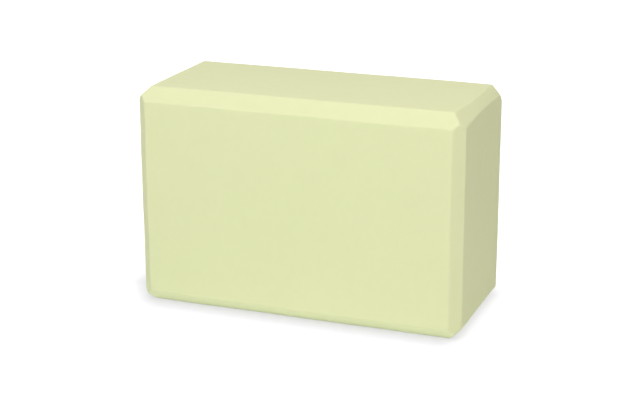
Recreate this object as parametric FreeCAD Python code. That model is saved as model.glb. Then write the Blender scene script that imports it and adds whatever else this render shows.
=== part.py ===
import FreeCAD, Part
import os

# Yoga block of closed-cell foam, standing on one of its long narrow sides. All sizes in millimetres.
# Two foam slabs are bonded face to face, and the bonded stack is then cut to size and bevelled as one.
# X runs along the length, Y from the front face to the rear face, and Z up.
# The origin is on the surface that the block stands on, under the block's middle.

# Size of the finished block
block_length = 228.6
block_height = 152.4
slab_thickness = 50.7  # each of the two foam slabs, from front to rear
film_thickness = 0.2  # set adhesive between the slabs

# Bevels, at 45 degrees: each leg is measured along a face from the sharp edge that was cut away
level_bevel = 9.3  # the eight edges that lie level
upright_bevel = 7.2  # the four edges that stand upright
ridge_radius = 1.8  # rounding of every ridge where a bevel meets a face or another bevel

block_thickness = slab_thickness + film_thickness + slab_thickness
length_edge = FreeCAD.Vector(block_length, 0, 0)
thickness_edge = FreeCAD.Vector(0, block_thickness, 0)
height_edge = FreeCAD.Vector(0, 0, block_height)


def bevelled_bar(across, up, along, bevel):
    # A bar about the origin: a rectangle, across by up, with its four corners cut off, drawn out along
    half_across = across / 2
    half_up = up / 2
    flat_across = half_across * (1 - bevel / half_across.Length)
    flat_up = half_up * (1 - bevel / half_up.Length)
    section = [
        flat_across - half_up,
        half_across - flat_up,
        half_across + flat_up,
        flat_across + half_up,
        half_up - flat_across,
        flat_up - half_across,
        -half_across - flat_up,
        -flat_across - half_up,
    ]
    outline = Part.makePolygon(section + section[:1])
    outline.translate(-along / 2)
    return Part.Face(outline).extrude(along)


def bevelled_block():
    # What three bars have in common has a bevel on all twelve edges, and then every ridge is rounded
    along_thickness = bevelled_bar(length_edge, height_edge, thickness_edge, level_bevel)
    along_length = bevelled_bar(thickness_edge, height_edge, length_edge, level_bevel)
    along_height = bevelled_bar(length_edge, thickness_edge, height_edge, upright_bevel)
    sharp = along_thickness.common(along_length).common(along_height)
    rounded = sharp.makeFillet(ridge_radius, sharp.Edges)
    rounded.translate(height_edge / 2)
    return rounded


def layer(block, front, thickness):
    # The slice of the block that starts at front, measured along Y, and is as thick as the layer
    corner = FreeCAD.Vector(-block_length / 2, front, 0)
    slice_box = Part.makeBox(block_length, thickness, block_height, corner)
    return block.common(slice_box).Solids[0]


stack = [
    ("front_foam_slab", slab_thickness),
    ("bond_film", film_thickness),
    ("rear_foam_slab", slab_thickness),
]

os.makedirs("parts", exist_ok=True)
block = bevelled_block()
front = -block_thickness / 2
for name, thickness in stack:
    piece = layer(block, front, thickness)
    piece.exportStep("parts/" + name + ".step")
    print(name, "valid" if piece.isValid() else "not valid", "volume", round(piece.Volume), "mm3")
    front = front + thickness
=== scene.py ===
from math import radians, tau

import bpy
import numpy as np
from mathutils import Matrix, Vector


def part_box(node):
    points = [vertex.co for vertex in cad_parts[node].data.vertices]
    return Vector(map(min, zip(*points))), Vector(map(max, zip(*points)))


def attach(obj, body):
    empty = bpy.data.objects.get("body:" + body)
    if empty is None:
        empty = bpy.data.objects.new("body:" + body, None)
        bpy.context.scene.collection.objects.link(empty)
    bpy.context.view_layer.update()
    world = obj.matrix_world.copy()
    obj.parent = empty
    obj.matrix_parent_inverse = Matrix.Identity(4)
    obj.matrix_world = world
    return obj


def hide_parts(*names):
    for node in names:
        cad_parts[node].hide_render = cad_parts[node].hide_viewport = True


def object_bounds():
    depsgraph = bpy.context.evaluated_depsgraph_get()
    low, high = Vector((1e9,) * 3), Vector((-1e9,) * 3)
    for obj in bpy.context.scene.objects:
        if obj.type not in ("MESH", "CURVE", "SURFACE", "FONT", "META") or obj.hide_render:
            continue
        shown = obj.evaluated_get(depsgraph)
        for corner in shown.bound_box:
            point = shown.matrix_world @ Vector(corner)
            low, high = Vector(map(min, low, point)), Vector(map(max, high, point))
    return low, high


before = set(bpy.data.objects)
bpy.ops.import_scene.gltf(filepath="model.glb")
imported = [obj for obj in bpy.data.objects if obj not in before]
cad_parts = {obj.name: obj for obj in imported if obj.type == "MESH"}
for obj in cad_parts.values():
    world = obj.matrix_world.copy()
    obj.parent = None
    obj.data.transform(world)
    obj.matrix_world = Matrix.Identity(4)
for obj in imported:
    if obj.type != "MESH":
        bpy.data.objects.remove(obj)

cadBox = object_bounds()     # the solids' own box, before any piece is added
cadLow = np.array(cadBox[0])
cadHigh = np.array(cadBox[1])
blockHalf = (cadHigh - cadLow) / 2
blockMiddle = (cadHigh + cadLow) / 2
print("frame loaded, block", np.round((cadHigh - cadLow) * 1000, 1), "mm")


# Shape that the foam layers share: a box with all twelve edges planed off at 45 degrees. Metres.
blockShape = {
    "longLegs": (0.0088, 0.0093, 0.0093, 0.0093),    # low front, high front, low rear, high rear
    "endLegs": (0.0068, 0.0089, 0.0083, 0.0062),     # low left, high left, low right, high right
    "uprightLegs": (0.0072, 0.0072, 0.0072, 0.0072),  # left front, left rear, right front, right rear
    "ridgeSoftness": 0.0002,        # how far a ridge is rubbed down along an edge
    "cornerSoftness": 0.0004,       # and at a corner
    "cornerSize": 0.028,            # how far from a corner the extra rubbing starts
    "paleRidgeWidth": 0.0007,            # how wide the ridges are drawn paler
    "wobble": 0.00014,              # how far a bevel strays in or out along its length
    "wobbleLengths": (0.093, 0.037),
    "wobbleShares": (1.0, 0.5),
    "wobbleSeed": 11,
    "fanDepth": 0.0125,             # how deep the inner core lies, below the deepest bevel
    "fanReach": 1.1,                # how far out a point is looked for, in fan depths
    "halvings": 36,
    "fineFrom": 0.0050,             # rows stand close from here to there, counted from a sharp edge
    "fineTo": 0.0118,
    "fineStep": 0.0003,
    "cornerStep": 0.0005,
    "flatStep": 0.0045,
    "leastStep": 1e-6,              # a row this near a layer's side gives way to it
    "weldGrid": 1e8,                # points are welded on a grid with so many steps to a metre
    "sharpAngle": 40,               # degrees, past which an edge is shaded as a sharp one
}


# Deeper cuts where the hand-trimmed bevel over the right end runs into its two corners: on a cut, the
# distances from the three faces that meet there, each times its weight, add up to the depth
cornerCuts = {
    "front": {"sides": (1, -1, 1), "weights": (1.0, 0.095, 1.0), "depth": 0.0097},
    "rear": {"sides": (1, 1, 1), "weights": (1.32, 1.0, 1.0), "depth": 0.0179},
}


# Outward normals of the planes that cut the block, and how far each lies from the middle. A plane on which
# the weighted distances from the faces add up to depth lies at (sum of weight times half - depth) / length
# of the weights: a face has one weight and no depth, a bevel two weights and its leg, a corner cut three
def blockPlanes():
    cuts = []                  # sides, weights, depth, and the axis that a bevel runs along, else -1
    for axis in range(3):
        for side in (-1, 1):
            cuts.append((side * np.eye(3)[axis], np.eye(3)[axis], 0, -1))
    for along, legs in enumerate(("longLegs", "endLegs", "uprightLegs")):
        first, second = [axis for axis in range(3) if axis != along]
        for number, leg in enumerate(blockShape[legs]):
            sides = np.zeros(3)
            sides[first] = 1 if number > 1 else -1
            sides[second] = 1 if number % 2 else -1
            cuts.append((sides, np.abs(sides), leg, along))
    for cut in cornerCuts.values():
        cuts.append((np.array(cut["sides"]), np.array(cut["weights"]), cut["depth"], -1))
    sides, weights, depth, along = [np.array(column) for column in zip(*cuts)]
    length = np.linalg.norm(weights, axis=1)
    return sides * weights / length[:, None], (weights @ blockHalf - depth) / length, along


planeNormals, planeReach, bevelAlong = blockPlanes()
bevelPhase = np.random.default_rng(blockShape["wobbleSeed"]).uniform(0, tau, (2, len(planeReach)))


# Distance of each point from each plane, positive outside. A bevel strays by a sum of two sines of
# the place along it, and every plane is drawn in by the inset
def planeDistance(points, inset):
    place = points[:, np.maximum(bevelAlong, 0)]
    wave = np.zeros(place.shape)
    for length, share, phase in zip(blockShape["wobbleLengths"], blockShape["wobbleShares"], bevelPhase):
        wave += share * np.sin(tau * place / length + phase)
    stray = np.where(bevelAlong < 0, 0, blockShape["wobble"] * wave)
    return points @ planeNormals.T - planeReach - stray + inset


# Softness of the ridges: the edges' own, rising smoothly to the corners' where all three axes are near
# their ends
def ridgeSoftness(points):
    nearEnd = 1 - (blockHalf - np.abs(points)) / blockShape["cornerSize"]
    corner = np.clip(nearEnd.min(axis=1), 0, 1)
    corner = corner ** 2 * (3 - 2 * corner)
    return blockShape["ridgeSoftness"] * (1 - corner) + blockShape["cornerSoftness"] * corner


# Soft maximum: softness times the log of the sum of exp(distance / softness). It is the largest
# distance, but near a ridge it rises a little above it, so the surface there is rounded
def softMaximum(distance, softness):
    top = distance.max(axis=1)
    above = (distance - top[:, None]) / softness[:, None]
    return top + softness * np.log(np.exp(above).sum(axis=1))


# Slides each point of a box grid along its own ray, out from the nearest point of an inner core,
# to where the soft maximum of the plane distances is nought. A point part of the way out, on a face
# inside the block, keeps its share of that way
def ontoFoam(boxPoints, inset):
    core = blockHalf - blockShape["fanDepth"]
    start = np.clip(boxPoints, -core, core)
    way = boxPoints - start
    share = np.abs(way).max(axis=1, keepdims=True) / blockShape["fanDepth"]
    ray = way / np.where(share > 0, share, 1)
    near = np.zeros(len(boxPoints))
    far = np.full(len(boxPoints), blockShape["fanReach"])
    for halving in range(blockShape["halvings"]):
        middle = (near + far) / 2
        reached = start + middle[:, None] * ray
        inside = softMaximum(planeDistance(reached, inset), ridgeSoftness(reached)) < 0
        near = np.where(inside, middle, near)
        far = np.where(inside, far, middle)
    return start + near[:, None] * way


# Nearness to a ridge, 0 on a flat and 1 on the ridge: twice the weight that is left to all planes
# but the largest in a wider soft maximum
def ridgeNearness(points, inset):
    distance = planeDistance(points, inset)
    weight = np.exp((distance - distance.max(axis=1, keepdims=True)) / blockShape["paleRidgeWidth"])
    return np.clip(2 * (1 - 1 / weight.sum(axis=1)), 0, 1)


# Rows along one axis, from edge to edge: wider steps on the flat, close ones across the bevels
def gridRows(half):
    shape = blockShape
    corner = np.arange(0, shape["fineFrom"], shape["cornerStep"])
    bevel = np.arange(shape["fineFrom"], shape["fineTo"], shape["fineStep"])
    edge = np.concatenate([corner, bevel])
    flatHalf = half - shape["fineTo"]
    flat = np.linspace(-flatHalf, flatHalf, int(2 * flatHalf / shape["flatStep"]) + 2)
    return np.concatenate([-half + edge, flat, (half - edge)[::-1]])


# Rows through the thickness of one layer: its two sides, and the block's own rows between them
def layerRows(low, high):
    rows = gridRows(blockHalf[1])
    between = (rows > low + blockShape["leastStep"]) & (rows < high - blockShape["leastStep"])
    return np.concatenate([[low], rows[between], [high]])


# Six grids of points, over two axes each, that cover the box of one layer. The number with each is 1 if
# squares taken round from the first axis to the second face outwards, and -1 if they face inwards. Last
# comes the product of the two axes, which tells a grid's opposite quarters from the other two
def layerGrids(low, high):
    across = gridRows(blockHalf[0])
    up = gridRows(blockHalf[2])
    through = layerRows(low, high)
    grids = []
    for axis, rows, limits in (
        (0, (through, up), (-blockHalf[0], blockHalf[0])),
        (1, (up, across), (low, high)),
        (2, (across, through), (-blockHalf[2], blockHalf[2])),
    ):
        first, second = np.meshgrid(*rows, indexing="ij")
        for limit, turn in zip(limits, (-1, 1)):
            grid = np.empty(first.shape + (3,))
            grid[..., axis] = limit
            grid[..., (axis + 1) % 3] = first
            grid[..., (axis + 2) % 3] = second
            grids.append((grid, turn, first * second))
    return grids


# One layer of the block as a closed mesh: its six grids, welded along their shared borders and slid
# onto the foam's surface
def layerMesh(name, low, high, inset):
    grids = layerGrids(low, high)
    boxPoints = np.concatenate([grid.reshape(-1, 3) for grid, turn, product in grids])
    steps = np.round(boxPoints * blockShape["weldGrid"]).astype(np.int64)
    kept, welded = np.unique(steps, axis=0, return_inverse=True)
    welded = welded.reshape(-1)
    faces = []
    count = 0
    for grid, turn, product in grids:
        rowCount, columnCount = grid.shape[:2]
        corner = welded[count:count + rowCount * columnCount].reshape(rowCount, columnCount)
        count += rowCount * columnCount
        loop = [corner[:-1, :-1], corner[1:, :-1], corner[1:, 1:], corner[:-1, 1:]]
        squares = np.stack(loop[::turn], axis=-1)
        # a square splits from its first corner to its third, so it starts where that line runs outwards
        crossed = turn * (product[:-1, :-1] + product[1:, 1:]) < 0
        squares[crossed] = np.roll(squares[crossed], 1, axis=-1)
        faces.append(squares.reshape(-1, 4))
    points = ontoFoam(kept / blockShape["weldGrid"], inset)
    mesh = bpy.data.meshes.new(name)
    mesh.from_pydata((points + blockMiddle).tolist(), [], np.concatenate(faces).tolist())
    mesh.polygons.foreach_set("use_smooth", np.ones(len(mesh.polygons), bool))
    mesh.set_sharp_from_angle(angle=radians(blockShape["sharpAngle"]))
    ridgeAttribute = mesh.attributes.new("ridge", "FLOAT", "POINT")
    ridgeAttribute.data.foreach_set("value", ridgeNearness(points, inset).astype(np.float32))
    mesh.update()
    return mesh


# A node socket that does sums: each operator adds the Math node that works it out
class Wire:
    def __init__(self, tree, socket=None):
        self.tree = tree
        self.socket = socket

    def node(self, kind, settings, sockets, output=0):
        made = self.tree.nodes.new(kind)
        for name, value in settings.items():
            setattr(made, name, value)
        for name, value in sockets.items():
            into = made.inputs[name] if isinstance(name, int) else self.named(made.inputs, name)
            if isinstance(value, Wire):
                self.tree.links.new(value.socket, into)
            else:
                into.default_value = value
        out = made.outputs[output] if isinstance(output, int) else self.named(made.outputs, output)
        return Wire(self.tree, out)

    def named(self, sockets, name):
        return next(s for s in sockets if name in (s.identifier, s.name))

    def maths(self, operation, first, second):
        return self.node("ShaderNodeMath", {"operation": operation}, {0: first, 1: second})

    def vector(self, operation, first, second):
        return self.node("ShaderNodeVectorMath", {"operation": operation}, {0: first, 1: second})

    def mixed(self, share, first, second):
        return self.node("ShaderNodeMix", {"data_type": "RGBA"},
                         {"Factor_Float": share, "A_Color": first, "B_Color": second}, "Result_Color")

    def noise(self, place, size, detail):
        return self.node("ShaderNodeTexNoise", {},
                         {"Vector": place, "Scale": 1 / size, "Detail": detail}, "Fac")

    def __add__(self, other):
        return self.maths("ADD", self, other)

    def __radd__(self, other):
        return self.maths("ADD", other, self)

    def __sub__(self, other):
        return self.maths("SUBTRACT", self, other)

    def __rsub__(self, other):
        return self.maths("SUBTRACT", other, self)

    def __mul__(self, other):
        return self.maths("MULTIPLY", self, other)

    def __rmul__(self, other):
        return self.maths("MULTIPLY", other, self)

    def to(self, node, name):
        self.tree.links.new(self.socket, node.inputs[name])


def newMaterial(name):
    material = bpy.data.materials.new(name)
    material.use_nodes = True
    shader = material.node_tree.nodes["Principled BSDF"]
    return material, shader, Wire(material.node_tree)


# Cut and sanded closed-cell foam: pale green, matte, with fine cells, faint cloudiness and paler ridges
foamFinish = {
    "palest": (0.725, 0.765, 0.465, 1),
    "deepest": (0.635, 0.685, 0.375, 1),
    "cellSize": 0.00042,       # across one cell
    "cloudSize": 0.0055,
    "cloudDetail": 3.0,
    "driftSize": 0.07,
    "driftDetail": 1.0,
    "middleTone": 0.5,         # shares of the way from the deepest colour to the palest
    "cellTone": 0.10,
    "cloudTone": 0.22,
    "driftTone": 0.10,
    "ridgeTone": 0.06,
    "cellMean": 0.45,          # what the cells and the noise come to on average
    "noiseMean": 0.5,
    "roughness": 0.74,
    "cellRough": 0.10,
    "specular": 0.32,
    "cellDepth": 0.00004,
    "cloudDepth": 0.8,         # as a share of the cells' depth
}


def foamMaterial():
    look = foamFinish
    material, shader, wire = newMaterial("pale_green_foam")
    place = wire.node("ShaderNodeTexCoord", {}, {}, "Object")
    cells = wire.node("ShaderNodeTexVoronoi", {"feature": "F1"},
                      {"Vector": place, "Scale": 1 / look["cellSize"], "Randomness": 1.0}, "Distance")
    cloud = wire.noise(place, look["cloudSize"], look["cloudDetail"])
    drift = wire.noise(place, look["driftSize"], look["driftDetail"])
    ridge = wire.node("ShaderNodeAttribute", {"attribute_name": "ridge"}, {}, "Fac")
    tone = look["middleTone"] + look["cellTone"] * (cells - look["cellMean"])
    tone = tone + look["cloudTone"] * (cloud - look["noiseMean"])
    tone = tone + look["driftTone"] * (drift - look["noiseMean"])
    # paler along the ridges
    tone = tone + look["ridgeTone"] * ridge
    wire.mixed(tone, look["deepest"], look["palest"]).to(shader, "Base Color")
    (look["roughness"] + look["cellRough"] * (cells - look["cellMean"])).to(shader, "Roughness")
    height = cells + look["cloudDepth"] * cloud
    relief = wire.node("ShaderNodeBump", {},
                       {"Strength": 1.0, "Distance": look["cellDepth"], "Height": height})
    relief.to(shader, "Normal")
    shader.inputs["Specular IOR Level"].default_value = look["specular"]
    return material


# Set adhesive, which shows as a hairline round the block
bondFinish = {
    "palest": (0.74, 0.78, 0.48, 1),
    "deepest": (0.64, 0.69, 0.38, 1),
    "streakSize": 0.004,
    "streakDetail": 2.0,
    "streakMean": 0.5,
    "roughness": 0.5,
    "roughSpread": 0.2,
}


def bondMaterial():
    look = bondFinish
    material, shader, wire = newMaterial("bond_adhesive")
    place = wire.node("ShaderNodeTexCoord", {}, {}, "Object")
    streak = wire.noise(place, look["streakSize"], look["streakDetail"])
    wire.mixed(streak, look["deepest"], look["palest"]).to(shader, "Base Color")
    (look["roughness"] + look["roughSpread"] * (streak - look["streakMean"])).to(shader, "Roughness")
    return material


def addPiece(name, layer, material):
    low, high = [corner[1] - blockMiddle[1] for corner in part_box(layer["node"])]
    mesh = layerMesh(name, low, high, layer["inset"])
    mesh.materials.append(material)
    piece = bpy.data.objects.new(name, mesh)
    bpy.context.scene.collection.objects.link(piece)
    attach(piece, "root")
    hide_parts(layer["node"])
    print("made", name, len(mesh.polygons), "faces")
    return piece


# The two foam slabs, each from its outer face to the bond
slabs = {
    "front_slab_foam": {"node": "front_foam_slab", "slot": "green_foam", "inset": 0.0, "fill": 1.0},
    "rear_slab_foam": {"node": "rear_foam_slab", "slot": "green_foam", "inset": 0.0, "fill": 1.0},
}
foam = foamMaterial()
for slabName, slab in slabs.items():
    addPiece(slabName, slab, foam)

# The bond between them, a hair below the foam's surface
bondLine = {"node": "bond_film", "slot": "bond_adhesive", "inset": 0.00002}
addPiece("bond_line", bondLine, bondMaterial())


# Floor: a wide white sheet. The camera sees it part lit, which keeps the block's shadow, and part glowing,
# which brings it up to plain white away from the block; round the block that glow is weaker, a painted
# shadow that leans out to the left at the rear
studioFloor = {
    "half": 6.0,
    "colour": (0.97, 0.97, 0.97, 1),
    "seenColour": (0.30, 0.297, 0.337, 1),  # share of its light that the camera sees
    "glowInPaintedShadow": 0.52,                    # white added for the camera beside the block, less than glowFar: a painted shadow
    "glowFar": 1.0,
    "glowColour": (1, 1, 1, 1),
    "tableGlow": 0.27,                   # light that it gives the block from below, as a lit table does
    "tableColour": (0.68, 0.73, 1, 1),
    "paintedShadowInset": (0.0168, 0.0066, 0),  # the painted shadow's core is smaller than the block
    "fade": 0.0385,                      # metres out from the painted shadow's core, over which it gives way to white
    "lean": 0.023,                       # how far the painted shadow's core leans out to the left behind its front corner
    "leanFrom": -0.0545,
    "leanTo": -0.016,
}


# 1 for a ray that looks, straight from the camera or by way of a reflection or a clear piece
def lookingRay(wire):
    camera = wire.node("ShaderNodeLightPath", {}, {}, "Is Camera Ray")
    glossy = wire.node("ShaderNodeLightPath", {}, {}, "Is Glossy Ray")
    through = wire.node("ShaderNodeLightPath", {}, {}, "Is Transmission Ray")
    return camera + glossy + through


# 0 in the core of the painted shadow round the block, rising smoothly to 1 where the floor is clear of it:
# the length of what sticks out past the core's half size, on the right, front and rear, and past its lean
# on the left
def clearOfPaintedShadow(wire):
    place = wire.node("ShaderNodeTexCoord", {}, {}, "Object")
    behind = wire.node("ShaderNodeSeparateXYZ", {}, {0: place}, "Y")
    lean = wire.node("ShaderNodeMapRange", {},
                     {"Value": behind, "From Min": studioFloor["leanFrom"],
                      "From Max": studioFloor["leanTo"], "To Min": 0.0, "To Max": studioFloor["lean"]})
    lean = wire.node("ShaderNodeCombineXYZ", {}, {"X": lean})
    other = wire.vector("SUBTRACT", (0, 0, 0), place)
    aside = wire.vector("MAXIMUM", place, wire.vector("SUBTRACT", other, lean))
    past = wire.vector("SUBTRACT", aside, tuple(blockHalf - studioFloor["paintedShadowInset"]))
    past = wire.vector("MAXIMUM", past, (0, 0, 0))
    away = wire.node("ShaderNodeVectorMath", {"operation": "LENGTH"}, {0: past}, "Value")
    return wire.node("ShaderNodeMapRange", {"interpolation_type": "SMOOTHSTEP"},
                     {"Value": away, "From Min": 0.0, "From Max": studioFloor["fade"]})


def floorMaterial():
    material = bpy.data.materials.new("studio_floor")
    material.use_nodes = True
    nodes = material.node_tree.nodes
    nodes.remove(nodes["Principled BSDF"])
    wire = Wire(material.node_tree)
    seen = lookingRay(wire)
    clear = clearOfPaintedShadow(wire)
    # the camera's glow: weaker in the painted shadow round the block, plain white clear of it
    white = studioFloor["glowInPaintedShadow"] + (studioFloor["glowFar"] - studioFloor["glowInPaintedShadow"]) * clear
    under = studioFloor["tableGlow"] * (1 - clear)
    strength = wire.node("ShaderNodeMix", {"data_type": "FLOAT"},
                         {"Factor_Float": seen, "A_Float": under, "B_Float": white}, "Result_Float")
    tint = wire.mixed(seen, studioFloor["tableColour"], studioFloor["glowColour"])
    colour = wire.mixed(seen, studioFloor["colour"], studioFloor["seenColour"])
    glow = wire.node("ShaderNodeEmission", {}, {"Color": tint, "Strength": strength})
    matte = wire.node("ShaderNodeBsdfDiffuse", {}, {"Color": colour})
    both = wire.node("ShaderNodeAddShader", {}, {0: matte, 1: glow})
    both.to(nodes["Material Output"], "Surface")
    return material


def addFloor():
    half = studioFloor["half"]
    corners = [(-half, -half, 0), (half, -half, 0), (half, half, 0), (-half, half, 0)]
    mesh = bpy.data.meshes.new("studio_floor")
    mesh.from_pydata(corners, [], [(0, 1, 2, 3)])
    mesh.materials.append(floorMaterial())
    floor = bpy.data.objects.new("studio_floor", mesh)
    bpy.context.scene.collection.objects.link(floor)


addFloor()

# World: soft light from all round, plain white where it is looked at
studioWorld = {
    "colour": (1, 0.981, 0.992, 1),
    "strength": 0.364,
    "seenColour": (1, 1, 1, 1),
    "seenStrength": 1.0,
}


def addWorld():
    world = bpy.data.worlds.new("studio_world")
    bpy.context.scene.world = world
    world.use_nodes = True
    world.node_tree.nodes.clear()
    wire = Wire(world.node_tree)
    light = wire.node("ShaderNodeBackground", {},
                      {"Color": studioWorld["colour"], "Strength": studioWorld["strength"]})
    white = wire.node("ShaderNodeBackground", {},
                      {"Color": studioWorld["seenColour"], "Strength": studioWorld["seenStrength"]})
    both = wire.node("ShaderNodeMixShader", {}, {0: lookingRay(wire), 1: light, 2: white})
    both.to(world.node_tree.nodes.new("ShaderNodeOutputWorld"), "Surface")


addWorld()

# Softboxes, each aimed at the block's middle: degrees round and up from the front, metres, watts
softboxes = {
    "front_softbox": {"round": 0, "up": 50, "away": 1.5, "size": (1.2, 0.8), "watts": 12.9,
                      "colour": (0.98, 0.985, 1)},
    "right_softbox": {"round": 60, "up": 70, "away": 1.5, "size": (1.2, 1.2), "watts": 6.4,
                      "colour": (1, 0.85, 0.98)},
    "fill_softbox": {"round": 45, "up": 35, "away": 1.6, "size": (0.8, 0.8), "watts": 1.6,
                     "colour": (0.93, 1, 0.62)},
    "rear_softbox": {"round": -138, "up": 3, "away": 1.8, "size": (1.2, 0.2), "watts": 8.0,
                     "colour": (0.95, 0.97, 1)},
}


# Unit vector towards a place that many degrees round from the front and up from the floor
def towards(roundDegrees, upDegrees):
    turn = radians(roundDegrees)
    rise = radians(upDegrees)
    return Vector((np.sin(turn) * np.cos(rise), -np.cos(turn) * np.cos(rise), np.sin(rise)))


def addSoftbox(name, box):
    light = bpy.data.lights.new(name, "AREA")
    light.shape = "RECTANGLE"
    light.size, light.size_y = box["size"]
    light.energy = box["watts"]
    light.color = box["colour"]
    lamp = bpy.data.objects.new(name, light)
    out = towards(box["round"], box["up"])
    lamp.location = Vector(blockMiddle) + out * box["away"]
    lamp.rotation_euler = (-out).to_track_quat("-Z", "Y").to_euler()
    bpy.context.scene.collection.objects.link(lamp)


for softboxName, softbox in softboxes.items():
    addSoftbox(softboxName, softbox)
print("studio ready,", len(softboxes), "softboxes")

# Camera at the photograph's angle, aimed a little off the block's middle
photoView = {
    "round": 20.9,
    "up": 17.3,
    "roll": -0.13,
    "away": 1.0923,
    "aimRight": -0.0006,
    "aimUp": -0.0048,
    "lens": 89.55,
    "sensor": 36.0,
}


def addCamera():
    view = photoView
    back = towards(view["round"], view["up"])
    right = Vector((np.cos(radians(view["round"])), np.sin(radians(view["round"])), 0))
    up = back.cross(right)
    place = Vector(blockMiddle) + right * view["aimRight"] + up * view["aimUp"] + back * view["away"]
    turn = Matrix((right, up, back)).transposed() @ Matrix.Rotation(radians(view["roll"]), 3, "Z")
    camera = bpy.data.objects.new("photo_camera", bpy.data.cameras.new("photo_camera"))
    camera.data.lens = view["lens"]
    camera.data.sensor_width = view["sensor"]
    camera.matrix_world = Matrix.Translation(place) @ turn.to_4x4()
    bpy.context.scene.collection.objects.link(camera)
    bpy.context.scene.camera = camera


addCamera()
bpy.context.scene.view_settings.view_transform = "Standard"
print("camera placed")
